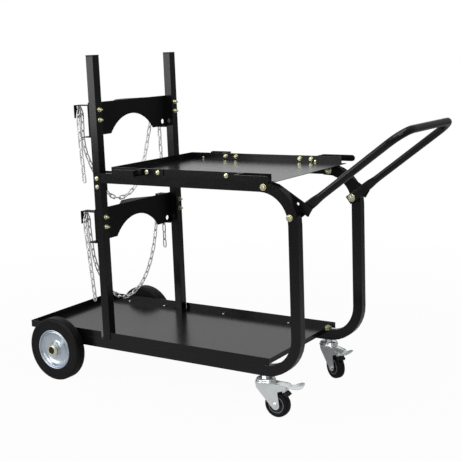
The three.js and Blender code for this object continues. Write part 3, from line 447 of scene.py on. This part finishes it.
def axes_at(place, outward):
    """A placement at a point whose own +Z looks along outward."""
    return Matrix.Translation(place) @ Vector(outward).to_track_quat("Z", "Y").to_matrix().to_4x4()


def skin(bm, rings, closed_loop=False, material=0):
    """Faces between closed rings of points that follow one another; open ends are filled."""
    rows = [[bm.verts.new(point) for point in ring] for ring in rings]
    following = rows[1:] + rows[:1] if closed_loop else rows[1:]
    for one, other in zip(rows, following):
        for i, corner in enumerate(one):
            bm.faces.new((one[i - 1], corner, other[i], other[i - 1])).material_index = material
    if not closed_loop:
        for row in (rows[0], rows[-1]):
            bm.faces.new(row).material_index = material


def circle(radius, height, sides):
    turns = (2 * math.pi * i / sides for i in range(sides))
    return [(radius * math.cos(turn), radius * math.sin(turn), height) for turn in turns]


def turned(bm, section, sides, material=0):
    """A ring about Z whose section is a closed line of points (radius, height)."""
    skin(bm, [circle(radius, height, sides) for radius, height in section], True, material)


def capped(bm, section, sides=32, material=0):
    """A body about Z whose section is an open line of points (radius, height), with flat ends."""
    skin(bm, [circle(radius, height, sides) for radius, height in section], False, material)


def arc(centre, radius, start, end):
    """Points (radius, height) along an arc, with angles in degrees from the radius direction."""
    for step in range(ARC_STEPS + 1):
        turn = math.radians(start + (end - start) * step / ARC_STEPS)
        yield centre[0] + radius * math.cos(turn), centre[1] + radius * math.sin(turn)


def mirrored(half):
    """A closed section from its outer half."""
    return [*half, *((radius, -height) for radius, height in reversed(half))]


def smooth_route(points):
    """A Catmull-Rom line through points, in steps between neighbours."""
    points = [Vector(point) for point in points]
    ends = [2 * points[0] - points[1], *points, 2 * points[-1] - points[-2]]
    line = []
    for a, b, c, d in zip(ends, ends[1:], ends[2:], ends[3:]):
        for step in range(ROUTE_STEPS):
            t = step / ROUTE_STEPS
            square = (2 * a - 5 * b + 4 * c - d) * t**2
            cube = (3 * b - a - 3 * c + d) * t**3
            line.append((2 * b + (c - a) * t + square + cube) / 2)
    return [*line, points[-1]]


def spaced(line, step):
    """Points along a line, the nearest whole number of steps apart, with its ends kept."""
    lengths = [(b - a).length for a, b in zip(line, line[1:])]
    count = max(1, round(sum(lengths) / step))
    step = sum(lengths) / count
    found = [line[0]]
    walked = 0.0
    i = 0
    for k in range(1, count):
        while walked + lengths[i] < k * step:
            walked += lengths[i]
            i += 1
        found.append(line[i].lerp(line[i + 1], (k * step - walked) / lengths[i]))
    return [*found, line[-1]]


# The solids that stay in view get a material and rounded edges


def dress_solids():
    slots = {row["node"]: row["material_slot"] for row in frame["record"]["subparts"]}
    for name, node in frame["nodes"].items():
        finish = PLATE_PAINT if name.startswith(PLATES) else FINISHES[slots[name]]
        node.data.materials.clear()
        node.data.materials.append(finish)
        if name.startswith(("side_frame", "post_left", "post_right")):
            round_edges(node, TUBE_EDGE, TUBE_EDGE_STEPS)
        elif name.startswith(("post_cap", "handle_plate", "caster", "brake")):
            round_edges(node, PLATE_EDGE, EDGE_STEPS)
        else:
            round_edges(node, SHEET_EDGE, EDGE_STEPS)


def round_edges(node, width, steps):
    weld = node.modifiers.new("weld", "WELD")
    weld.merge_threshold = EDGE_WELD
    bevel = node.modifiers.new("edges", "BEVEL")
    bevel.width = width
    bevel.segments = steps
    bevel.limit_method = "ANGLE"
    bevel.angle_limit = math.radians(EDGE_ANGLE)
    bevel.harden_normals = True


# Fasteners: each stands on Z = 0 and looks along +Z


def dome(bm, foot):
    """A round bolt head."""
    section = [(DOME_RADIUS, foot), (DOME_RADIUS, foot + DOME_EDGE)]
    for step in range(1, DOME_STEPS):
        turn = math.pi / 2 * step / DOME_STEPS
        rise = (DOME_HEIGHT - DOME_EDGE) * math.sin(turn)
        section.append((DOME_RADIUS * math.cos(turn), foot + DOME_EDGE + rise))
    capped(bm, [*section, (DOME_CROWN, foot + DOME_HEIGHT)])


def hexagon(bm, foot, top, radius, material=0):
    """A hexagon nut or head, chamfered at its top end."""
    chamfer = math.copysign(HEX_CHAMFER, top - foot)
    section = [(radius, foot), (radius, top - chamfer), (radius - HEX_CHAMFER, top)]
    capped(bm, section, HEX_SIDES, material)


def washer(bm, foot, radius, thick=WASHER_THICK):
    top = foot + thick
    edge = math.copysign(WASHER_EDGE, thick)
    inner = radius - WASHER_EDGE
    capped(bm, [(inner, foot), (radius, foot + edge), (radius, top - edge), (inner, top)])


def stud(bm, foot, top, radius):
    """A threaded end between two heights."""
    turns = max(2, round(abs(top - foot) / THREAD_PITCH))
    third = (top - foot) / turns / 3
    root = radius - THREAD_DEPTH
    section = []
    for i in range(turns):
        start = foot + 3 * third * i
        section += [(root, start), (radius, start + third), (radius, start + 2 * third)]
    capped(bm, [*section, (root, top)], SCREW_SIDES)


def nut(thread):
    """A builder of a nut on its washer, with a threaded end that stands out of it."""
    top = WASHER_THICK + HEX_HEIGHT

    def build(bm):
        washer(bm, -FASTENER_SINK, SMALL_WASHER, WASHER_THICK + FASTENER_SINK)
        hexagon(bm, WASHER_THICK, top, SMALL_HEX_RADIUS)
        stud(bm, top - HEX_CHAMFER, top + thread, SMALL_SHANK_RADIUS)

    return build


def dome_bolt(bm):
    dome(bm, 0)
    capped(bm, [(SHANK_RADIUS, -FASTENER_SINK), (SHANK_RADIUS, 0)])


def screw(bm):
    """A small pan-headed screw."""
    shoulder = SCREW_HEIGHT / 2
    capped(bm, [
        (SCREW_RADIUS, -FASTENER_SINK), (SCREW_RADIUS, shoulder),
        (SCREW_RADIUS - WASHER_EDGE, SCREW_HEIGHT - WASHER_EDGE), (SCREW_RADIUS / 2, SCREW_HEIGHT),
    ], SCREW_SIDES)


def stem_nut(bm):
    """The nut and thread of a caster's stem."""
    hexagon(bm, 0, STEM_NUT_HEIGHT, STEM_NUT_RADIUS)
    stud(bm, STEM_NUT_HEIGHT - HEX_CHAMFER, STEM_NUT_HEIGHT + STEM_THREAD, STEM_RADIUS)


def rail_bolt(length):
    """A builder of a round-headed bolt whose nut sits short of its end."""
    seat = BOLT_TAIL + BOLT_NUT_HEIGHT - length

    def build(bm):
        dome(bm, 0)
        capped(bm, [(SHANK_RADIUS, 0), (SHANK_RADIUS, seat)])
        hexagon(bm, seat, seat - BOLT_NUT_HEIGHT, HEX_RADIUS)
        stud(bm, seat - BOLT_NUT_HEIGHT + HEX_CHAMFER, -length, SHANK_RADIUS)

    return build


def handle_bolt(length):
    """A builder of a hexagon bolt with a washer under its head and a wider one under its nut."""
    seat = BOLT_TAIL + BOLT_NUT_HEIGHT - length
    nut_foot = seat - WASHER_THICK

    def build(bm):
        washer(bm, 0, HEAD_WASHER)
        hexagon(bm, WASHER_THICK, WASHER_THICK + HEX_HEIGHT, HEX_RADIUS)
        capped(bm, [(SHANK_RADIUS, WASHER_THICK), (SHANK_RADIUS, nut_foot)])
        washer(bm, seat, NUT_WASHER, -WASHER_THICK)
        hexagon(bm, nut_foot, nut_foot - BOLT_NUT_HEIGHT, HEX_RADIUS)
        stud(bm, nut_foot - BOLT_NUT_HEIGHT + HEX_CHAMFER, -length - WASHER_THICK, SHANK_RADIUS)

    return build


def fastener(name, build, place, outward, material=YELLOW):
    new_piece(name, build, [material], "cart", (), axes_at(axle_place(*place), outward))


def bracket_bolts(side_name, side):
    """Bolts along X through a chain hanger, a cylinder bracket and a post, with their nuts in front."""
    for i, height in enumerate(BRACKET_BOLT_HEIGHTS):
        y = side * POST_MIDDLE_Y
        fastener(f"bracket_nut_{i}_{side_name}", nut(BRACKET_BOLT_THREAD), (POST_FRONT, y, height), (1, 0, 0))
        fastener(f"bracket_bolt_{i}_{side_name}", dome_bolt, (HANGER_REAR, y, height), (-1, 0, 0))


def hook_bolts(side_name, side):
    """Bolts through the cable hooks and the upper tray's flange, along Y."""
    outer = side * (TRAY_FLANGE_Y + HOOK_THICK)
    inner = side * (TRAY_FLANGE_Y - TRAY_SHEET)
    for i, x in enumerate(HOOK_BOLT_PLACES):
        fastener(f"hook_bolt_{i}_{side_name}", dome_bolt, (x, outer, HOOK_BOLT_Z), (0, side, 0))
        fastener(f"hook_nut_{i}_{side_name}", nut(HOOK_BOLT_THREAD), (x, inner, HOOK_BOLT_Z), (0, -side, 0))


def tray_screws(side_name, side):
    """Small screws along the trays' edges, and the caster's stem nut on top of the rail."""
    for i, x in enumerate(LOWER_SCREWS):
        fastener(f"lower_screw_{i}_{side_name}", screw, (x, side * LOWER_SCREW_Y, LOWER_FLOOR), UP, ZINC)
    inner = side * (TRAY_FLANGE_Y - TRAY_SHEET)
    for i, x in enumerate(UPPER_SCREWS):
        fastener(f"upper_screw_{i}_{side_name}", screw, (x, inner, UPPER_SCREW_Z), (0, -side, 0))
    fastener(f"stem_nut_{side_name}", stem_nut, (CASTER_X, side * TUBE_MIDDLE_Y, RAIL_TOP), UP)


def bolted_solids(side_name, side):
    """Detailed bolts in place of the plain ones of the rails and the handle."""
    for name, kind in (("rail_bolt", rail_bolt), ("handle_bolt", handle_bolt)):
        for level in ("upper", "lower"):
            node = f"{name}_{level}_{side_name}"
            low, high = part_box(node)
            end = low.y if side > 0 else high.y
            middle = (low + high) / 2
            at = axes_at((middle.x, side * FRAME_HALF, middle.z), (0, side, 0))
            new_piece(f"{node}_detail", kind(abs(side * FRAME_HALF - end)), [YELLOW], "cart", [node], at)


# Rear wheels


def tyre_section():
    """Half of a tyre's section: bead, sidewall with a raised ring, shoulder and a groove in the tread."""
    bead_radius, bead_out = TYRE_BEAD
    rib_radius, rib_rise = TYRE_RIB
    groove_out, groove_wide, groove_deep = TYRE_GROOVE
    bead = (bead_radius + TYRE_BEAD_ROUNDING, TYRE_HALF - TYRE_BEAD_ROUNDING - rib_rise)
    shoulder = (TYRE_RADIUS - TYRE_SHOULDER, TYRE_HALF - TYRE_SHOULDER)
    wall = TYRE_HALF - rib_rise
    floor_radius = TYRE_RADIUS - groove_deep
    return [
        (bead_radius, bead_out),
        *arc(bead, TYRE_BEAD_ROUNDING, 180, 90),
        (rib_radius - 2 * rib_rise, wall), (rib_radius - rib_rise, TYRE_HALF),
        *arc(shoulder, TYRE_SHOULDER, 90, 0),
        (TYRE_RADIUS, groove_out), (floor_radius, groove_out - groove_wide / 4),
        (floor_radius, groove_out - 3 * groove_wide / 4), (TYRE_RADIUS, groove_out - groove_wide),
    ]


def rear_tyre(bm):
    turned(bm, mirrored(tyre_section()), WHEEL_SIDES)


def rear_rim(bm):
    """A pressed rim with a rolled lip and a deep dish on both faces."""
    seat = RIM_LIP[0] + RIM_LIP_ROUNDING
    face = [(seat, RIM_SEAT), *arc(RIM_LIP, RIM_LIP_ROUNDING, 0, 180), *RIM_DISH]
    turned(bm, mirrored(face), WHEEL_SIDES)


def hub_bush(bm):
    shoulder = HUB_RADIUS - HUB_CHAMFER
    turned(bm, [
        (HUB_BORE, -HUB_HALF), (shoulder, -HUB_HALF), (HUB_RADIUS, HUB_CHAMFER - HUB_HALF),
        (HUB_RADIUS, TYRE_HALF), (HUB_BORE, TYRE_HALF),
    ], WHEEL_SIDES)


def axle_end(bm):
    """A flanged yellow collar on the axle's end with a black push cap in it."""
    first, last = COLLAR_SECTION[0], COLLAR_SECTION[-1]
    bore = [(COLLAR_BORE, last[1]), (COLLAR_BORE, first[1])]
    turned(bm, [*COLLAR_SECTION, *bore], WHEEL_SIDES)
    capped(bm, AXLE_CAP, material=1)


def rear_wheel(side_name, side):
    at = axes_at(axle_place(0, side * WHEEL_MIDDLE_Y, AXLE_HEIGHT), (0, side, 0))
    wheel = f"rear_wheel_{side_name}"
    for part, build, materials, body in (
        ("rear_tyre", rear_tyre, [RUBBER], wheel),
        ("rear_rim", rear_rim, [RIM_ZINC], wheel),
        ("rear_hub", hub_bush, [YELLOW], wheel),
        ("axle_nut", axle_end, [YELLOW, PLASTIC], "cart"),
    ):
        node = f"{part}_{side_name}"
        new_piece(f"{node}_detail", build, materials, body, [node], at)


# Casters


def caster_tread(bm):
    turned(bm, mirrored(CASTER_TREAD), CASTER_SIDES)


def caster_hub(bm):
    """A plastic hub with raised rings, and a grey ring let into each face."""
    turned(bm, mirrored(CASTER_HUB), CASTER_SIDES)
    for face in (-1, 1):
        turned(bm, [(radius, face * height) for radius, height in CASTER_RING], CASTER_SIDES, material=1)


def caster_head(bm):
    """Ball race and stem nut, about the swivel axis."""
    capped(bm, CASTER_RACE, CASTER_SIDES)
    hexagon(bm, RACE_NUT_FOOT, RACE_NUT_TOP, RACE_NUT_RADIUS)


def caster_axle(bm):
    """A bolt along Z with a hexagon head at one end and a nut at the other."""
    for end in (-1, 1):
        hexagon(bm, end * CASTER_BOLT_SEAT, end * CASTER_BOLT_HEAD, CASTER_HEAD_RADIUS)
    capped(bm, [(CASTER_BOLT_RADIUS, -CASTER_BOLT_END), (CASTER_BOLT_RADIUS, CASTER_BOLT_END)])


def brake_pedal(bm):
    """A pressed sheet pedal with a flared, twisted tread, on a barrel and pin along Y."""
    rings = []
    for x, z, half, dish, slope in PEDAL_LINE:
        top = []
        for share in PEDAL_ACROSS:
            across = share * half
            top.append((x, across, z + PEDAL_THICK / 2 + slope * across - dish * (1 - share**2)))
        under = [(px, py, pz - PEDAL_THICK) for px, py, pz in reversed(top)]
        rings.append([*top, *under])
    skin(bm, rings)
    skin(bm, [[(x, end * PEDAL_NECK_HALF, z) for x, z in PEDAL_NECK] for end in (-1, 1)])
    along_y = Matrix.Rotation(math.pi / 2, 4, "X")
    for radius, reach in (PEDAL_BARREL, PEDAL_PIN):
        rod = bmesh.new()
        capped(rod, [(radius, -reach), (radius, reach)])
        rod.transform(along_y)
        for face in rod.faces:
            bm.faces.new([bm.verts.new(corner.co) for corner in face.verts])
        rod.free()
    bmesh.ops.remove_doubles(bm, verts=bm.verts, dist=EDGE_WELD)


def brake_shoe(bm):
    """A block under the pedal's neck whose hollow face fits the tyre."""
    outline = [*arc(SHOE_HOLLOW, SHOE_HOLLOW_RADIUS, *SHOE_HOLLOW_ARC), *SHOE_BACK]
    skin(bm, [[(x, end * SHOE_HALF, z) for x, z in outline] for end in (-1, 1)])


def caster(side_name, side):
    turn = Matrix.Rotation(math.radians(CASTER_TURNS[side_name]), 4, "Z")
    at = Matrix.Translation(axle_place(CASTER_X, side * TUBE_MIDDLE_Y, 0)) @ turn
    wheel = at @ Matrix.Translation((CASTER_TRAIL, 0, CASTER_AXLE_Z)) @ Matrix.Rotation(-math.pi / 2, 4, "X")
    pin = at @ Matrix.Translation((BRAKE_PIN_AHEAD, 0, BRAKE_PIN_Z))
    for part, build, materials, body, place in (
        ("caster_tyre", caster_tread, [RUBBER], f"caster_wheel_{side_name}", wheel),
        ("caster_hub", caster_hub, [PLASTIC, GREY], f"caster_wheel_{side_name}", wheel),
        ("caster_axle", caster_axle, [ZINC], f"caster_swivel_{side_name}", wheel),
        ("caster_head", caster_head, [ZINC], "cart", at),
        ("brake_pedal", brake_pedal, [ZINC], f"caster_brake_{side_name}", pin),
        ("brake_shoe", brake_shoe, [PLASTIC], f"caster_brake_{side_name}", pin),
    ):
        node = f"{part}_{side_name}"
        new_piece(f"{node}_detail", build, materials, body, [node], place)


# Chains


def link_loop():
    """The middle line of one link about its centre: X along the chain, Y across."""
    radius = (LINK_WIDTH - LINK_WIRE) / 2
    middle = (LINK_PITCH + LINK_WIRE) / 2 - radius
    loop = []
    for end in (1, -1):
        for i in range(LINK_BEND_STEPS + 1):
            turn = math.pi * (i / LINK_BEND_STEPS - 1 / 2)
            loop.append((end * (middle + radius * math.cos(turn)), end * radius * math.sin(turn)))
    return loop


def link(bm, middle, along, across):
    """A welded link: a round wire round a slim loop, with its flat side along across."""
    up = along.cross(across).normalized()
    loop = [middle + along * x + across * y for x, y in link_loop()]
    rings = []
    for i, point in enumerate(loop):
        tangent = (loop[(i + 1) % len(loop)] - loop[i - 1]).normalized()
        side = tangent.cross(up).normalized()
        rings.append([point + side * x + up * y for x, y, _ in circle(LINK_WIRE / 2, 0, LINK_WIRE_SIDES)])
    skin(bm, rings, closed_loop=True)


def chain_strand(name, route, node):
    """Links along a route, each turned a quarter from the one before."""
    joints = spaced(smooth_route([axle_place(*(Vector(point) * MM)) for point in route]), LINK_PITCH)

    def build(bm):
        for i, (one, other) in enumerate(zip(joints, joints[1:])):
            along = (other - one).normalized()
            forward = Vector((1, 0, 0))
            across = (forward - along * forward.dot(along)).normalized()
            if i % 2:
                across = along.cross(across)
            link(bm, (one + other) / 2, along, across)

    piece = new_piece(name, build, [CHAIN_ZINC], "cart", [node], smooth=LINK_SMOOTH_ANGLE)


def chain(name, route):
    """One chain as its hanging middle and the two tails below its hangers."""
    first, second = HOOK_POINTS
    node = f"{name}_chain"
    chain_strand(f"{node}_middle", route[first : second + 1], node)
    chain_strand(f"{node}_tail_left", tuple(reversed(route[: first + 1])), node)
    chain_strand(f"{node}_tail_right", route[second:], node)


# Plugs and welds


def rail_plug(bm):
    """A plastic plug for the open end of a rail, its face looking along Z."""
    rings = []
    for depth, inset in PLUG_SECTION:
        tall = TUBE_DEPTH / 2 - TUBE_WALL - PLUG_CLEARANCE - inset
        wide = TUBE_WIDTH / 2 - TUBE_WALL - PLUG_CLEARANCE - inset
        rings.append([(tall, wide, depth), (-tall, wide, depth), (-tall, -wide, depth), (tall, -wide, depth)])
    skin(bm, rings)


def rail_end(side_name, side):
    place = axle_place(RAIL_REAR, side * TUBE_MIDDLE_Y, RAIL_FOOT + TUBE_DEPTH / 2)
    at = Matrix.Translation(place) @ Matrix.Rotation(-math.pi / 2, 4, "Y")
    new_piece(f"rail_plug_{side_name}", rail_plug, [PLASTIC], "cart", (), at)


def weld_bead(bm, start, end):
    """A rippled bead of weld along a straight line."""
    ahead = (end - start).normalized()
    side = ahead.orthogonal().normalized()
    up = ahead.cross(side)
    rings = []
    for i, point in enumerate(spaced([start, end], WELD_RADIUS * WELD_SPACING)):
        reach = WELD_RADIUS * (1 - WELD_RIPPLE + WELD_RIPPLE * math.cos(i * WELD_RIPPLE_TURN))
        rings.append([point + side * x + up * y for x, y, _ in circle(reach, 0, WELD_SIDES)])
    skin(bm, rings)


def welds(side_name, side):
    """Beads at a post's foot on its rail, and along the axle bracket under the rail."""
    outer = side * (FRAME_HALF - WELD_INSET)
    inner = side * (FRAME_HALF - TUBE_WIDTH)
    foot = POST_FOOT + WELD_RISE

    def build(bm):
        for x in (POST_REAR, POST_FRONT):
            weld_bead(bm, axle_place(x, outer, foot), axle_place(x, inner, foot))
        for offset in (-AXLE_WELD_OFFSET, AXLE_WELD_OFFSET):
            y = side * TUBE_MIDDLE_Y + offset
            weld_bead(bm, axle_place(-AXLE_WELD_HALF, y, RAIL_FOOT), axle_place(AXLE_WELD_HALF, y, RAIL_FOOT))

    new_piece(f"welds_{side_name}", build, [PAINT], "cart")


# Stage


def seen_white(tree, shader, share):
    """Mixes white over a shader: share of it for the eye and glass, and less in glossy surfaces."""
    path = tree.nodes.new("ShaderNodeLightPath")
    direct = tree.nodes.new("ShaderNodeMath")
    direct.operation = "MAXIMUM"
    tree.links.new(path.outputs["Is Camera Ray"], direct.inputs[0])
    tree.links.new(path.outputs["Is Transmission Ray"], direct.inputs[1])
    shared = tree.nodes.new("ShaderNodeMath")
    shared.operation = "MULTIPLY"
    tree.links.new(direct.outputs[0], shared.inputs[0])
    tree.links.new(share, shared.inputs[1])
    glossy = tree.nodes.new("ShaderNodeMath")
    glossy.operation = "MULTIPLY_ADD"
    tree.links.new(path.outputs["Is Glossy Ray"], glossy.inputs[0])
    glossy.inputs[1].default_value = GLOSSY_WHITE
    tree.links.new(shared.outputs[0], glossy.inputs[2])
    white = tree.nodes.new("ShaderNodeEmission")
    mix = tree.nodes.new("ShaderNodeMixShader")
    tree.links.new(glossy.outputs[0], mix.inputs[0])
    tree.links.new(shader, mix.inputs[1])
    tree.links.new(white.outputs[0], mix.inputs[2])
    return mix.outputs[0]


def floor():
    """A pale floor: white paper round the cart, where its shadow shows, and a darker room beyond."""
    mesh = bpy.data.meshes.new("floor")
    half = FLOOR_SIZE / 2
    corners = [(-half, -half, 0), (half, -half, 0), (half, half, 0), (-half, half, 0)]
    mesh.from_pydata(corners, [], [(0, 1, 2, 3)])
    plane = bpy.data.objects.new("floor", mesh)
    bpy.context.scene.collection.objects.link(plane)
    nodes = Nodes("pale_floor")
    away = nodes.tree.nodes.new("ShaderNodeVectorMath")
    away.operation = "LENGTH"
    nodes.link(nodes.place, away, 0)
    beyond = nodes.tree.nodes.new("ShaderNodeMapRange")
    beyond.inputs["From Min"].default_value = PAPER_REACH
    beyond.inputs["From Max"].default_value = ROOM_START
    nodes.link(away.outputs["Value"], beyond, "Value")
    nodes.colours(beyond.outputs["Result"], (0.0, PAPER_COLOUR), (1.0, ROOM_COLOUR))
    nodes.set(Roughness=FLOOR_ROUGHNESS)
    share = nodes.tree.nodes.new("ShaderNodeMapRange")
    share.inputs["To Min"].default_value = PAPER_WHITE
    nodes.link(beyond.outputs["Result"], share, "Value")
    mixed = seen_white(nodes.tree, nodes.shader.outputs[0], share.outputs["Result"])
    nodes.link(mixed, nodes.tree.nodes["Material Output"], "Surface")
    mesh.materials.append(nodes.material)


def world():
    studio = bpy.data.worlds.new("studio")
    bpy.context.scene.world = studio
    studio.use_nodes = True
    tree = studio.node_tree
    background = tree.nodes["Background"]
    background.inputs["Color"].default_value = WORLD_COLOUR
    background.inputs["Strength"].default_value = WORLD_STRENGTH
    whole = tree.nodes.new("ShaderNodeValue")
    whole.outputs[0].default_value = 1.0
    mixed = seen_white(tree, background.outputs[0], whole.outputs[0])
    tree.links.new(mixed, tree.nodes["World Output"].inputs["Surface"])


def softbox(name, place, aim, width, height, power):
    lamp = bpy.data.lights.new(name, "AREA")
    lamp.shape = "RECTANGLE"
    lamp.size = width
    lamp.size_y = height
    lamp.energy = power
    box = bpy.data.objects.new(name, lamp)
    bpy.context.scene.collection.objects.link(box)
    box.location = place
    box.rotation_euler = (Vector(aim) - Vector(place)).to_track_quat("-Z", "Y").to_euler()
    box.visible_camera = False


def camera():
    azimuth, pitch, roll = (math.radians(angle) for angle in (CAMERA_AZIMUTH, CAMERA_PITCH, CAMERA_ROLL))
    level = Vector((-math.sin(azimuth), math.cos(azimuth), 0))
    ahead = level * math.cos(pitch) - Vector(UP) * math.sin(pitch)
    right = Vector((math.cos(azimuth), math.sin(azimuth), 0))
    up = right.cross(ahead)
    turned_right = right * math.cos(roll) + up * math.sin(roll)
    turned_up = up * math.cos(roll) - right * math.sin(roll)
    lens = bpy.data.cameras.new("camera")
    lens.sensor_width = CAMERA_SENSOR
    lens.lens = CAMERA_LENS
    eye = bpy.data.objects.new("camera", lens)
    bpy.context.scene.collection.objects.link(eye)
    axes = Matrix((turned_right, turned_up, -ahead)).transposed().to_4x4()
    eye.matrix_world = Matrix.Translation(axle_place(*CAMERA_PLACE)) @ axes
    bpy.context.scene.camera = eye


bpy.context.scene.view_settings.view_transform = "Standard"
camera()
chain("upper", UPPER_CHAIN_ROUTE)
chain("lower", LOWER_CHAIN_ROUTE)
world()
floor()
for softbox_row in SOFTBOXES:
    softbox(*softbox_row)
dress_solids()
for side_name, side in SIDES:
    rear_wheel(side_name, side)
    caster(side_name, side)
    bracket_bolts(side_name, side)
    hook_bolts(side_name, side)
    tray_screws(side_name, side)
    bolted_solids(side_name, side)
    welds(side_name, side)
    rail_end(side_name, side)
